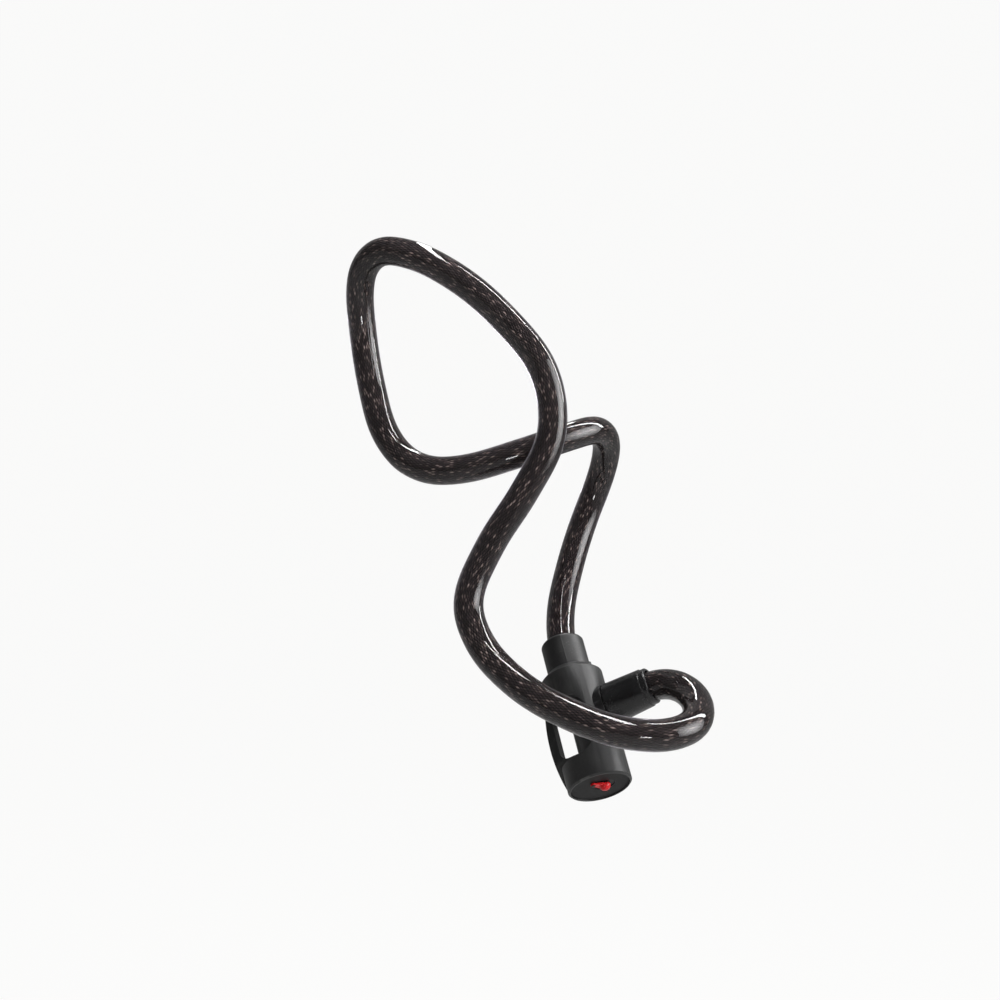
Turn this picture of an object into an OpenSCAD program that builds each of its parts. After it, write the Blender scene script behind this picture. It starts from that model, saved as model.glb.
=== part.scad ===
// Armoured cable lock, closed, in the pose in which it hangs over a peg.
// Millimetres, +Z up. The origin is the point under the cable's top bend where the peg bears.
// The lock body and the plug are drawn in the lock's own axes: +X is the way the plug pulls out,
// +Z runs up the body towards the fixed cable end, and the two axes cross at the zero point.

/* [Cable] */
// Outer diameter of the sheathed cable
cable_d = 18; // [16:0.5:19]
// Diameter of the bare steel rope inside the sheath
rope_d = 8; // [6:0.5:9]
// Length of sheath held inside each end fitting
sheath_grip = 10; // [8:1:14]
// Number of flat sides on the cable tube
cable_sides = 12; // [8:2:12]

/* [Lock body] */
// Outer diameter of the shells
body_d = 39; // [39:0.5:42]
// Height of the shells' top above the plug's axis
body_top = 31; // [30:1:34]
// Distance from the plug's axis down to the shells' lower rim
body_drop = 47; // [45:1:54]
// Wall thickness of the shells
wall = 1.6; // [1.2:0.1:1.8]
// Diameter of the shells' flat top
shoulder_top_d = 28.4; // [28:0.2:30]
// Height of the sloping shoulder
shoulder_h = 5; // [4:0.5:8]
// Chamfer around the lower rim
rim_chamfer = 1; // [0.4:0.2:1.6]

/* [Collar] */
// Outer diameter of the collar on the fixed cable end
collar_d = 27; // [26:0.5:28]
// Height of the collar above the shells
collar_h = 22; // [16:1:26]
// Chamfer around the collar's mouth
collar_chamfer = 2; // [1:0.5:2.5]
// Width of the small lug at the collar's foot
lug_w = 3; // [2:0.5:4]
// Height of the small lug
lug_h = 3.6; // [2:0.2:6]
// How far the small lug stands out from the collar
lug_out = 1; // [0.6:0.1:1.4]
// Direction of the small lug round the collar, from the plug's side
lug_angle = 22; // [-45:1:45]
// Length of the collar's spigot inside the shells
spigot_h = 5.5; // [4:0.5:6.5]

/* [Carrying bow] */
// Thickness of the bow from front to back
bow_t = 7; // [6:0.5:10]
// How far the bow stands out past the shells at its middle
bow_bulge = 4.4; // [3.6:0.1:6]
// Height of the bow's middle relative to the plug's axis
bow_mid = -12; // [-13:1:-10]
// Height of the bow from foot to top
bow_h = 66; // [62:1:66]
// Distance from the body's axis to the window's outer side
window_out = 18.4; // [17.6:0.2:18.8]
// Distance from the body's axis to the far side of the scoop behind the window
window_in = 11; // [9:0.5:11.5]
// Lower edge of the window relative to the plug's axis
window_low = -31; // [-34:1:-28]
// Upper edge of the window relative to the plug's axis
window_high = 8; // [6:0.5:8.5]
// Lower edge of the window in the bow itself, above the scoop's floor
web_top = -23; // [-26:1:-18]
// Corner radius on the window's outer side
window_corner = 5; // [3:0.5:5.5]
// Corner radius on the inner side of the scoop
scoop_corner = 12; // [8:1:14]
// Radius of the rounded nose between the window and the plug side
nose_r = 16.4; // [16:0.2:17]
// Distance from the body's axis to the nose's centre
nose_x = 9.5; // [9.2:0.1:9.8]

/* [Key core] */
// Diameter of the turning key core
core_d = 12; // [10:0.5:12.4]
// Distance from the body's axis to the key core's axis
core_x = 3; // [3:0.1:3.4]
// Wall of the housing around the key core
barrel_wall = 2.2; // [1.8:0.1:2.2]
// Thickness of the end plate
end_t = 2.2; // [1.6:0.2:3]
// How far the end plate sits inside the rim
end_inset = 0.8; // [0.6:0.1:1.6]
// Width of the keyway
keyway_w = 1.8; // [1.4:0.1:2.2]
// Height of the keyway across the core's face
keyway_h = 6.4; // [5:0.2:6.8]
// Depth of the keyway
keyway_depth = 20; // [16:1:22]
// Number of wafers in the core
wafer_count = 5; // [3:1:6]
// Distance between neighbouring wafers
wafer_pitch = 2.6; // [2.4:0.1:3]
// Thickness of one wafer
wafer_t = 1; // [0.8:0.1:1.2]
// Width of one wafer
wafer_w = 7; // [6.4:0.2:7]
// How far a wafer springs out of the core
wafer_throw = 0.8; // [0.5:0.1:0.9]

/* [Keyhole cover] */
// Radius of the cover's round head
cover_head_r = 3.5; // [3.4:0.1:4.5]
// Radius of the cover's tail around its rivet
cover_tail_r = 1.5; // [1.3:0.1:2]
// Distance from the rivet to the middle of the head
cover_reach = 8.5; // [7.5:0.5:10]
// Thickness of the cover's flat tail
cover_t = 1.2; // [0.8:0.1:1.6]
// How far the cover's head bulges out over the tail
cover_dome = 2.4; // [0.8:0.2:2.6]
// Direction of the cover's tail round the key core, from the plug's side
cover_angle = 240; // [200:5:270]
// Radius of the cover's rivet
rivet_r = 0.8; // [0.6:0.1:1]

/* [Bolt] */
// Thickness of the sliding bolt plate
plate_t = 3; // [2:0.2:3.2]
// Travel of the bolt plate from released to locked
throw = 2.4; // [1.8:0.1:2.5]
// Width of metal around the stud's opening in the bolt plate
plate_rim = 2.1; // [1.6:0.1:2.2]
// Radius of the cam's crank pin
crank_r = 1.2; // [1:0.1:1.4]
// Length of the crank pin above the cam
crank_h = 3.6; // [3:0.2:4]

/* [Plug] */
// Diameter of the plug's steel stud
stud_d = 13; // [12:0.2:13.2]
// Length of the plug's sleeve outside the lock
ferrule_len = 28.7; // [26:0.5:34]
// Diameter of the sleeve at the lock
ferrule_d = 25.4; // [24.4:0.2:26]
// Diameter of the sleeve at the cable
ferrule_end_d = 23.6; // [23:0.2:24.4]
// Length of the sleeve's thinner mouth
mouth_len = 4; // [3:0.5:6]
// How much thinner the mouth is, on the radius
mouth_step = 0.6; // [0.2:0.1:0.8]
// Outer diameter of the ring around the socket
ring_d = 26; // [25:0.5:26.4]
// How far the ring stands out past the shells
ring_out = 0.5; // [0.2:0.1:2]
// Radius of the rubber seal's cord
seal_r = 0.9; // [0.6:0.1:1]

/* [Fasteners] */
// Diameter of the shell screws' threads
screw_d = 2.2; // [1.8:0.1:2.4]
// Diameter of the shell screws' heads
screw_head_d = 3.8; // [3.4:0.1:4]
// Diameter of the pin through the fixed cable end
anchor_pin_d = 3; // [2:0.2:3.4]
// Diameter of the set screw in the plug's sleeve
set_screw_d = 4; // [3:0.2:4.4]

/* [Fits] */
// Radial clearance of running and close fits
fit = 0.05; // [0.03:0.01:0.08]
// Clearance around pieces that must not touch
slip = 0.2; // [0.15:0.05:0.25]
// Radial clearance of the sheath in its bores
sheath_slip = 0.5; // [0.3:0.1:0.6]

/* [Hidden] */
$fn = 64;
far = 60;
// How far the bow's feet run into the shells' skin
bow_sink = 0.8;

// Place of the lock's own axes in the hanging pose
lock_at = [127, -34, -281];
lock_turn = [-28, -26, -20];

// Free route of the cable from the collar, over the peg and round to the plug
ROUTE = [
    [116, 10, -223], [123, 32, -193], [135, 47, -158], [142, 46, -140], [147, 37, -121],
    [146, 22, -109], [139, 7, -104], [124, -7, -108], [89, -17, -120], [51, -10, -130],
    [33, -2, -130], [17, 7, -123], [5, 16, -109], [-7, 29, -73], [-13, 30, -34],
    [-14, 24, -15], [-10, 13, 1], [2, 0, 9], [18, -9, 6], [52, -19, -12],
    [81, -25, -38], [104, -29, -69], [109, -34, -108], [92, -38, -144], [71, -41, -177],
    [58, -48, -214], [64, -57, -231], [86, -78, -254], [114, -101, -268], [148, -118, -277],
    [167, -119, -278], [183, -110, -275], [190, -94, -269], [189, -77, -262], [182, -63, -258],
    [176, -54, -258]];
ring_step = 13;
corner_cuts = 9;

body_r = body_d / 2;
collar_r = collar_d / 2;
cable_r = cable_d / 2;
rope_r = rope_d / 2;
core_r = core_d / 2;
stud_r = stud_d / 2;
ring_r = ring_d / 2;
inner_r = body_r - wall;
inner_top = body_top - wall;
sheath_bore_r = cable_r + sheath_slip;

// Fixed cable end
sleeve_r = cable_r - 1;
collar_top = body_top + collar_h;
sheath_end = collar_top - sheath_grip - spigot_h;
spigot_r = sleeve_r + 2.5;
spigot_low = body_top - spigot_h;

// Bolt plate and stud
open_r = stud_r + 0.4;
groove_r = open_r - throw - 0.5;
plate_half = open_r + plate_rim;
notch_top = -(open_r + 2.7);
plate_low = notch_top - crank_h;
plate_high = plate_half;
plate_x0 = core_x;
plate_x1 = core_x + plate_t;
crank_offset = throw / (2 * sin(45));
stud_tip_x = plate_x0 - 3;

// Key core, from its face up to the cam
plate_face = -body_drop + end_inset;
housing_low = plate_face + end_t;
core_face = plate_face + 0.4;
cam_top = plate_low - slip - 0.1;
cam_t = 3.5;
neck_h = 2.5;
seat_t = 1.5;
core_top = cam_top - cam_t - neck_h;
neck_r = core_r - 2;
clip_t = neck_h - seat_t - slip;
tail_w = 4;
tail_h = 2.3;
cam_r = core_r - 0.8;
barrel_r = core_r + barrel_wall;
groove_out = core_r + 1.1;

// Housing
socket_r = stud_r + 0.1;
cross_r = socket_r + 2.6;
chamber_wall = 1.2;
chamber_thin = 0.7;
upper_r = spigot_r + 1;
anchor_floor = cross_r + 2.8;
upper_low = window_high + wall + slip;
cross_x0 = stud_tip_x - 2;

// Socket ring and plug
ring_face = body_r + ring_out;
ring_back = ring_face - 6.5;
cross_x1 = ring_face - 2.7;
lip_x = cross_x1 + fit;
ferrule_x0 = ring_face + 0.3;
ferrule_x1 = ferrule_x0 + ferrule_len;
ferrule_wall = 2;
mouth_r = ferrule_end_d / 2 - mouth_step;
flange_t = 2;
flange_x = ferrule_x0 + ferrule_wall;
swage_x0 = flange_x + flange_t;
swage_x1 = ferrule_x1 - sheath_grip;
tail_r = 3.4;
tail_len = 4;
rope_x0 = swage_x0 + tail_len + 1.5;
rope_end_floor = sheath_end - 16;

// Shell screws: distance from the body's axis and height
screw_r = screw_d / 2;
boss_r = screw_r + 1.1;
screw_at = [[-(upper_r + boss_r + 0.5), 17], [upper_r + boss_r + 0.5, 17],
            [-(barrel_r + boss_r), housing_low + 6], [core_x + barrel_r + boss_r + 0.5, housing_low + 6]];

module in_lock() translate(lock_at) rotate(lock_turn) children();
module at_rivet() translate([core_x, 0, 0]) rotate(cover_angle) translate([cover_reach, 0, 0]) children();
module along_x(x) translate([x, 0, 0]) rotate([0, 90, 0]) children();
module along_y(x, z) translate([x, 0, z]) rotate([-90, 0, 0]) children();

// Turns a point given in the lock's axes into the row's axes
function turned(p, a) = let (
    x1 = [p.x, p.y * cos(a.x) - p.z * sin(a.x), p.y * sin(a.x) + p.z * cos(a.x)],
    y1 = [x1.x * cos(a.y) + x1.z * sin(a.y), x1.y, x1.z * cos(a.y) - x1.x * sin(a.y)])
    [y1.x * cos(a.z) - y1.y * sin(a.z), y1.x * sin(a.z) + y1.y * cos(a.z), y1.z];
function from_lock(p) = lock_at + turned(p, lock_turn);

// A smooth curve through a list of points, cut into short steps
function unit(v) = v / norm(v);
function heading(p, i) = let (last = len(p) - 1)
    i == 0 ? unit(p[1] - p[0]) :
    i == last ? unit(p[last] - p[last - 1]) :
    let (before = p[i] - p[i - 1], after = p[i + 1] - p[i])
    unit(before * norm(after) / norm(before) + after * norm(before) / norm(after));
function between(p, i, u) = let (reach = norm(p[i + 1] - p[i]))
    (2 * u ^ 3 - 3 * u ^ 2 + 1) * p[i] + (u ^ 3 - 2 * u ^ 2 + u) * reach * heading(p, i)
    + (3 * u ^ 2 - 2 * u ^ 3) * p[i + 1] + (u ^ 3 - u ^ 2) * reach * heading(p, i + 1);
function smooth(p, step) = [
    for (i = [0 : len(p) - 2])
        let (cuts = max(1, round(norm(p[i + 1] - p[i]) / step)))
        for (j = [0 : cuts - 1]) between(p, i, j / cuts),
    p[len(p) - 1]];

// Side vectors carried along a path without twist
function flat(v, along) = unit(v - (v * along) * along);
function sides_along(dirs, first) = [
    for (i = 0, v = flat(first, dirs[0]); i < len(dirs); i = i + 1, v = i < len(dirs) ? flat(v, dirs[i]) : v) v];

// A round tube of radius r swept along a path
module swept(path, r, sides, first) {
    last = len(path) - 1;
    dirs = [for (i = [0 : last]) heading(path, i)];
    across = sides_along(dirs, first);
    points = [for (i = [0 : last], s = [0 : sides - 1])
        path[i] + r * (cos(360 * s / sides) * across[i] + sin(360 * s / sides) * cross(dirs[i], across[i]))];
    skin = [for (i = [0 : last - 1], s = [0 : sides - 1])
        let (n = (s + 1) % sides, a = i * sides, b = a + sides) each [[a + s, b + s, a + n], [a + n, b + s, b + n]]];
    polyhedron(points, concat(
        [[for (s = [0 : sides - 1]) s]], skin, [[for (s = [sides - 1 : -1 : 0]) last * sides + s]]));
}

module tube(r, bore, h) {
    difference() {
        cylinder(r = r, h = h);
        translate([0, 0, -1]) cylinder(r = bore, h = h + 2);
    }
}

module cable() {
    fixed = [from_lock([0, 0, sheath_end + slip]), from_lock([0, 0, collar_top])];
    plugged = [from_lock([ferrule_x1, 0, 0]), from_lock([swage_x1 + slip, 0, 0])];
    route = concat(fixed, ROUTE, plugged);
    color([0.13, 0.12, 0.12]) swept(smooth(route, ring_step), cable_r, cable_sides, [1, 0, 0]);
}

// Collar, anchor sleeve, pin and rope of the fixed cable end
module gland_collar() {
    color([0.16, 0.17, 0.17]) in_lock() difference() {
        union() {
            rotate_extrude() polygon([[0, spigot_low], [spigot_r, spigot_low], [spigot_r, body_top],
                [collar_r, body_top], [collar_r, collar_top - collar_chamfer],
                [collar_r - collar_chamfer, collar_top], [0, collar_top]]);
            rotate(lug_angle) translate([collar_r - 1, -lug_w / 2, body_top]) cube([lug_out + 1, lug_w, lug_h]);
        }
        translate([0, 0, spigot_low - 1]) cylinder(r = sleeve_r + slip, h = far);
        translate([0, 0, sheath_end]) cylinder(r = sheath_bore_r, h = far);
    }
}

module anchor_sleeve() {
    color([0.62, 0.63, 0.64]) in_lock() difference() {
        translate([0, 0, anchor_floor]) cylinder(r = sleeve_r, h = sheath_end - anchor_floor);
        translate([0, 0, rope_end_floor]) cylinder(r = rope_r + fit, h = far);
        along_y(0, anchor_floor + 3) translate([0, 0, -far / 2]) cylinder(d = anchor_pin_d, h = far);
    }
}

module anchor_pin() {
    color([0.55, 0.56, 0.58]) in_lock() along_y(0, anchor_floor + 3)
        translate([0, 0, -upper_r]) cylinder(d = anchor_pin_d - 2 * fit, h = 2 * upper_r);
}

module rope_end_fixed() {
    color([0.5, 0.5, 0.5]) in_lock() translate([0, 0, rope_end_floor])
        cylinder(r = rope_r, h = sheath_end - rope_end_floor);
}

// Points of an arc that runs anticlockwise over a quarter turn
function quarter(centre, r, start) = [
    for (i = [0 : corner_cuts]) let (a = start + 90 * i / corner_cuts) centre + r * [cos(a), sin(a)]];

// Outline with rounded corners, seen from the front: a on the left, b on the right
module rounded(x0, x1, z0, z1, a, b) {
    polygon(concat(
        quarter([x0 + a, z0 + a], a, 180), quarter([x1 - b, z0 + b], b, 270),
        quarter([x1 - b, z1 - b], b, 0), quarter([x0 + a, z1 - a], a, 90)));
}

// The scoop in the round body, open towards the bow
module scoop(grow) {
    difference() {
        rotate([90, 0, 0]) linear_extrude(height = far, center = true)
            rounded(-far, window_in + grow, window_low - grow, window_high + grow, window_corner, scoop_corner + grow);
        translate([nose_x, 0, -far]) cylinder(r = nose_r - grow, h = 2 * far);
    }
}

// The window through the bow, from the bow's strap to the nose
module window_in_bow() {
    rotate([90, 0, 0]) linear_extrude(height = far, center = true)
        rounded(-window_out, far / 2, web_top, window_high, window_corner, window_corner);
}

module bow_outline() {
    bow_out = body_r + bow_bulge;
    half = bow_h / 2;
    rise = bow_bulge + bow_sink;
    bow_r = (half ^ 2 + rise ^ 2) / (2 * rise);
    intersection() {
        translate([bow_r - bow_out, bow_mid]) circle(r = bow_r, $fn = 180);
        translate([-bow_out - 1, bow_mid - half]) square([bow_out + 1 + nose_x - nose_r + wall / 2, 2 * half]);
    }
}

module bow() {
    difference() {
        rotate([90, 0, 0]) linear_extrude(height = bow_t, center = true) bow_outline();
        window_in_bow();
        translate([nose_x, 0, -far]) cylinder(r = nose_r - wall, h = 2 * far);
    }
}

module shell_outside() {
    difference() {
        rotate_extrude() polygon([[0, -body_drop], [body_r - rim_chamfer, -body_drop],
            [body_r, -body_drop + rim_chamfer], [body_r, body_top - shoulder_h],
            [shoulder_top_d / 2, body_top], [0, body_top]]);
        scoop(0);
    }
}

module shell_inside() {
    difference() {
        rotate_extrude() polygon([[0, -body_drop - 1], [inner_r, -body_drop - 1],
            [inner_r, body_top - shoulder_h - wall / 2], [shoulder_top_d / 2 - wall, inner_top],
            [0, inner_top]]);
        scoop(wall);
    }
}

// One shell: side is -1 for the front and 1 for the rear
module shell(side) {
    in_lock() difference() {
        intersection() {
            difference() {
                union() {
                    shell_outside();
                    bow();
                }
                difference() {
                    shell_inside();
                    for (at = screw_at) along_y(at.x, at.y)
                        translate([0, 0, -far / 2]) cylinder(r = boss_r, h = far);
                }
            }
            translate([-far, side < 0 ? -far : 0, -far]) cube([2 * far, far, 2 * far]);
        }
        cylinder(r = spigot_r + fit, h = far);
        along_x(ring_back) cylinder(r = ring_r + fit, h = far);
        for (at = screw_at) along_y(at.x, at.y) {
            translate([0, 0, -screw_depth()]) cylinder(r = screw_r + (side < 0 ? 0 : fit), h = far);
            translate([0, 0, screw_seat(at)]) cylinder(d = screw_head_d + 2 * fit, h = far);
        }
    }
}

// Where a screw's head sits, and how deep its thread goes into the front shell
function screw_seat(at) = sqrt(body_r ^ 2 - (abs(at.x) + screw_head_d / 2) ^ 2) - 1;
function screw_depth() = 5;

module shell_front() color([0.17, 0.18, 0.18]) shell(-1);
module shell_rear() color([0.17, 0.18, 0.18]) shell(1);

module shell_screws() {
    color([0.35, 0.36, 0.37]) in_lock() for (at = screw_at) along_y(at.x, at.y) difference() {
        union() {
            translate([0, 0, -screw_depth() + slip])
                cylinder(r = screw_r - fit, h = screw_seat(at) + screw_depth() - slip);
            translate([0, 0, screw_seat(at)]) cylinder(d = screw_head_d, h = 1);
        }
        translate([-1, -0.25, screw_seat(at) + 0.5]) cube([2, 0.5, 1]);
        translate([-0.25, -1, screw_seat(at) + 0.5]) cube([0.5, 2, 1]);
    }
}

// Zinc housing that holds the cable end, the socket, the bolt plate and the key core
module lock_housing() {
    chamber_x0 = plate_x0 - 0.1;
    chamber_x = plate_t + 0.2;
    chamber_y0 = -(plate_half + slip);
    chamber_y1 = plate_half + throw + slip;
    chamber_z0 = plate_low - slip;
    chamber_z1 = plate_high + slip;
    color([0.55, 0.55, 0.56]) in_lock() difference() {
        union() {
            translate([0, 0, upper_low]) cylinder(r = upper_r, h = inner_top - upper_low);
            along_x(cross_x0) cylinder(r = cross_r, h = cross_x1 - cross_x0);
            translate([chamber_x0 - chamber_wall, chamber_y0 - chamber_wall, chamber_z0 - chamber_wall])
                cube([chamber_x + 2 * chamber_wall, chamber_y1 - chamber_y0 + chamber_wall + chamber_thin,
                      upper_low + 1 - chamber_z0 + chamber_wall]);
            translate([core_x, 0, housing_low]) cylinder(r = barrel_r, h = chamber_z0 - housing_low);
        }
        translate([0, 0, anchor_floor]) cylinder(r = sleeve_r + fit, h = far);
        translate([0, 0, spigot_low]) cylinder(r = spigot_r + fit, h = far);
        along_y(0, anchor_floor + 3) translate([0, 0, -far / 2]) cylinder(d = anchor_pin_d, h = far);
        along_x(stud_tip_x - 0.5) cylinder(r = socket_r, h = far);
        translate([chamber_x0, chamber_y0, chamber_z0])
            cube([chamber_x, chamber_y1 - chamber_y0, chamber_z1 - chamber_z0]);
        translate([core_x, 0, housing_low - 1]) cylinder(r = core_r + fit, h = core_top - housing_low + 1);
        translate([core_x, 0, core_top - 1]) cylinder(r = neck_r + fit, h = neck_h);
        translate([core_x, 0, core_top + seat_t]) cylinder(r = cam_r + slip, h = chamber_z0 - core_top - seat_t);
        translate([core_x, 0, wafer_z(0) - 2]) intersection() {
            cylinder(r = groove_out, h = wafer_z(wafer_count - 1) - wafer_z(0) + 4);
            union() {
                translate([-wafer_w / 2 - slip, -far, -1]) cube([wafer_w + 2 * slip, 2 * far, far]);
                translate([-far, -wafer_w / 2 - slip, -1]) cube([2 * far, wafer_w + 2 * slip, far]);
            }
        }
    }
}

// Bush around the mouth of the plug's socket, and the rubber seal in it
module socket_ring() {
    seal_x = (lip_x + ring_face) / 2;
    color([0.1, 0.1, 0.11]) in_lock() difference() {
        along_x(ring_back) cylinder(r = ring_r, h = ring_face - ring_back);
        along_x(ring_back - 1) cylinder(r = cross_r + fit, h = lip_x - ring_back + 1);
        along_x(0) cylinder(r = socket_r + slip, h = far);
        along_x(seal_x) rotate_extrude() translate([socket_r + seal_r, 0]) circle(r = seal_r + fit);
    }
}

module socket_seal() {
    seal_x = (lip_x + ring_face) / 2;
    color([0.06, 0.06, 0.06]) in_lock()
        along_x(seal_x) rotate_extrude() translate([socket_r + seal_r, 0]) circle(r = seal_r);
}

// End plate with the key core's hole
module end_plate() {
    color([0.15, 0.15, 0.15]) in_lock() difference() {
        translate([0, 0, plate_face]) cylinder(r = inner_r - fit, h = end_t);
        translate([core_x, 0, plate_face - 1]) cylinder(r = core_r + 2 * fit, h = far);
        at_rivet() translate([0, 0, plate_face - 1]) cylinder(r = rivet_r, h = far);
    }
}

module keyhole_cover() {
    edge = 0.06;
    dome_base = cover_head_r - 0.2;
    dome_r = (dome_base ^ 2 + cover_dome ^ 2) / (2 * cover_dome);
    color([0.72, 0.08, 0.1]) in_lock()
        at_rivet() translate([0, 0, plate_face - slip - cover_t]) difference() {
            union() {
                cylinder(r = cover_tail_r, h = cover_t);
                translate([-cover_reach, 0, 0]) cylinder(r = cover_head_r, h = cover_t);
                intersection() {
                    translate([-cover_reach, 0, dome_r - cover_dome]) rotate([90, 0, 0]) sphere(r = dome_r);
                    translate([-cover_reach, 0, -far]) cylinder(r = cover_head_r - edge, h = far + cover_t / 2);
                }
                linear_extrude(height = cover_t) polygon([
                    [0, cover_tail_r - edge], [-cover_reach, cover_head_r - edge],
                    [-cover_reach, edge - cover_head_r], [0, edge - cover_tail_r]]);
            }
            translate([0, 0, -1]) cylinder(r = rivet_r + fit, h = cover_t + 2);
        }
}

module cover_rivet() {
    under = plate_face - slip - cover_t - slip;
    color([0.3, 0.3, 0.3]) in_lock() at_rivet() {
        translate([0, 0, under]) cylinder(r = rivet_r - fit, h = housing_low - under);
        translate([0, 0, under - 0.4]) cylinder(r = rivet_r + 0.5, h = 0.4);
    }
}

// Key core with its keyway, wafer slots and spring pockets
function wafer_z(i) = core_face + 5 + i * wafer_pitch;
spring_x = wafer_w / 2 + 0.6;
spring_len = 2.4;
spring_coil_r = 0.45;
spring_wire_r = 0.13;

module key_core() {
    color([0.72, 0.6, 0.32]) in_lock() translate([core_x, 0, 0]) difference() {
        union() {
            translate([0, 0, core_face]) cylinder(r = core_r, h = core_top - core_face);
            translate([0, 0, core_top - 1]) cylinder(r = neck_r, h = neck_h + 1);
            translate([-tail_w / 2, -tail_w / 2, core_top]) cube([tail_w, tail_w, neck_h + tail_h]);
        }
        translate([-keyway_w / 2, -keyway_h / 2, core_face - 1]) cube([keyway_w, keyway_h, keyway_depth + 1]);
        for (i = [0 : wafer_count - 1]) {
            translate([-wafer_w / 2 - fit, -far / 2, wafer_z(i)]) cube([wafer_w + 2 * fit, far, wafer_t + 2 * fit]);
            translate([wafer_w / 2, -0.5, wafer_z(i)]) cube([1.2, 2, wafer_t + 2 * fit]);
            translate([spring_x, -0.4, wafer_z(i) + wafer_t / 2 + fit]) rotate([90, 0, 0])
                cylinder(r = spring_coil_r + spring_wire_r + 0.12, h = spring_len + slip);
        }
    }
}

module wafers() {
    color([0.78, 0.68, 0.42]) in_lock() translate([core_x, 0, fit]) for (i = [0 : wafer_count - 1])
        translate([0, 0, wafer_z(i)]) difference() {
            union() {
                intersection() {
                    cylinder(r = core_r - fit, h = wafer_t);
                    translate([-wafer_w / 2, -far / 2, -1]) cube([wafer_w, far, wafer_t + 2]);
                }
                translate([wafer_w / 2 - 0.5, -0.3, 0]) cube([1.5, 0.8, wafer_t]);
            }
            translate([-keyway_w / 2 - 0.2, -2.6 - 0.15 * (i % 3), -1])
                cube([keyway_w + 0.4, 5.2 + 0.3 * (i % 3), wafer_t + 2]);
        }
}

module wafer_springs() {
    turns = 3;
    cuts = 8;
    coil = [for (k = [0 : turns * cuts]) let (a = 360 * k / cuts)
        [spring_coil_r * cos(a), -0.45 - spring_wire_r - (spring_len - 0.35) * k / (turns * cuts),
         spring_coil_r * sin(a)]];
    color([0.6, 0.6, 0.62]) in_lock() for (i = [0 : wafer_count - 1])
        translate([core_x + spring_x, 0, wafer_z(i) + wafer_t / 2 + fit])
            swept(coil, spring_wire_r, 6, [1, 0, 0]);
}

module core_clip() {
    color([0.4, 0.4, 0.42]) in_lock() translate([core_x, 0, core_top + seat_t + slip / 2])
        tube(cam_r, neck_r + fit, clip_t);
}

// Cam on the core's square tail, with the crank pin that moves the bolt plate
module drive_cam() {
    color([0.5, 0.48, 0.42]) in_lock() translate([core_x, 0, cam_top - cam_t]) {
        difference() {
            cylinder(r = cam_r, h = cam_t);
            translate([-tail_w / 2 - fit, -tail_w / 2 - fit, -1])
                cube([tail_w + 2 * fit, tail_w + 2 * fit, tail_h + 1 + slip]);
        }
        rotate(-45) translate([crank_offset, 0, cam_t - 0.5]) cylinder(r = crank_r, h = crank_h + 0.5);
    }
}

module bolt_plate() {
    notch_w = 2 * crank_r + 0.24;
    color([0.66, 0.67, 0.68]) in_lock() difference() {
        union() {
            along_x(plate_x0) cylinder(r = plate_half, h = plate_t);
            translate([plate_x0, -plate_half, plate_low]) cube([plate_t, 2 * plate_half, -plate_low]);
        }
        along_x(plate_x0 - 1) cylinder(r = open_r, h = plate_t + 2);
        translate([plate_x0 - 1, -throw / 2 - notch_w / 2, plate_low - 1])
            cube([plate_t + 2, notch_w, notch_top - plate_low + 1 + slip]);
    }
}

// Plug: outer sleeve, steel stud, swage, set screw and rope
module plug_ferrule() {
    color([0.09, 0.09, 0.1]) in_lock() difference() {
        along_x(0) rotate_extrude() polygon([[0, ferrule_x0], [ferrule_d / 2 - 0.6, ferrule_x0],
            [ferrule_d / 2, ferrule_x0 + 0.6], [ferrule_end_d / 2, ferrule_x1 - mouth_len],
            [mouth_r, ferrule_x1 - mouth_len], [mouth_r, ferrule_x1 - 0.6], [mouth_r - 0.6, ferrule_x1],
            [0, ferrule_x1]]);
        along_x(ferrule_x0 - 1) cylinder(r = stud_r + slip, h = far);
        along_x(flange_x) cylinder(r = sleeve_r + fit, h = far);
        along_x(swage_x1) cylinder(r = sheath_bore_r, h = far);
        along_y((swage_x0 + swage_x1) / 2, 0) cylinder(d = set_screw_d, h = far);
    }
}

module plug_stud() {
    color([0.75, 0.76, 0.78]) in_lock() along_x(0) rotate_extrude() polygon([
        [0, stud_tip_x], [groove_r, stud_tip_x], [stud_r, stud_tip_x + 2.2], [stud_r, plate_x0 - slip],
        [groove_r, plate_x0 - slip], [groove_r, plate_x1 + slip], [stud_r, plate_x1 + slip],
        [stud_r, flange_x], [sleeve_r, flange_x], [sleeve_r, swage_x0],
        [tail_r, swage_x0], [tail_r, swage_x0 + tail_len], [0, swage_x0 + tail_len]]);
}

module plug_sleeve() {
    color([0.62, 0.63, 0.64]) in_lock() difference() {
        along_x(swage_x0) cylinder(r = sleeve_r, h = swage_x1 - swage_x0);
        along_x(swage_x0 - 1) cylinder(r = tail_r + fit, h = tail_len + 1 + slip);
        along_x(rope_x0) cylinder(r = rope_r + fit, h = far);
        along_y((swage_x0 + swage_x1) / 2, 0) translate([0, 0, sleeve_r - 1.5]) cylinder(d = set_screw_d, h = far);
    }
}

module plug_set_screw() {
    out = ferrule_end_d / 2 - 0.4;
    color([0.3, 0.3, 0.31]) in_lock() along_y((swage_x0 + swage_x1) / 2, 0) difference() {
        translate([0, 0, sleeve_r - 1.4]) cylinder(d = set_screw_d - 2 * fit, h = out - sleeve_r + 1.4);
        translate([0, 0, out - 1]) cylinder(d = 2, h = 2, $fn = 6);
    }
}

module rope_end_plug() {
    color([0.5, 0.5, 0.5]) in_lock() along_x(rope_x0) cylinder(r = rope_r, h = swage_x1 - rope_x0);
}

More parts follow.
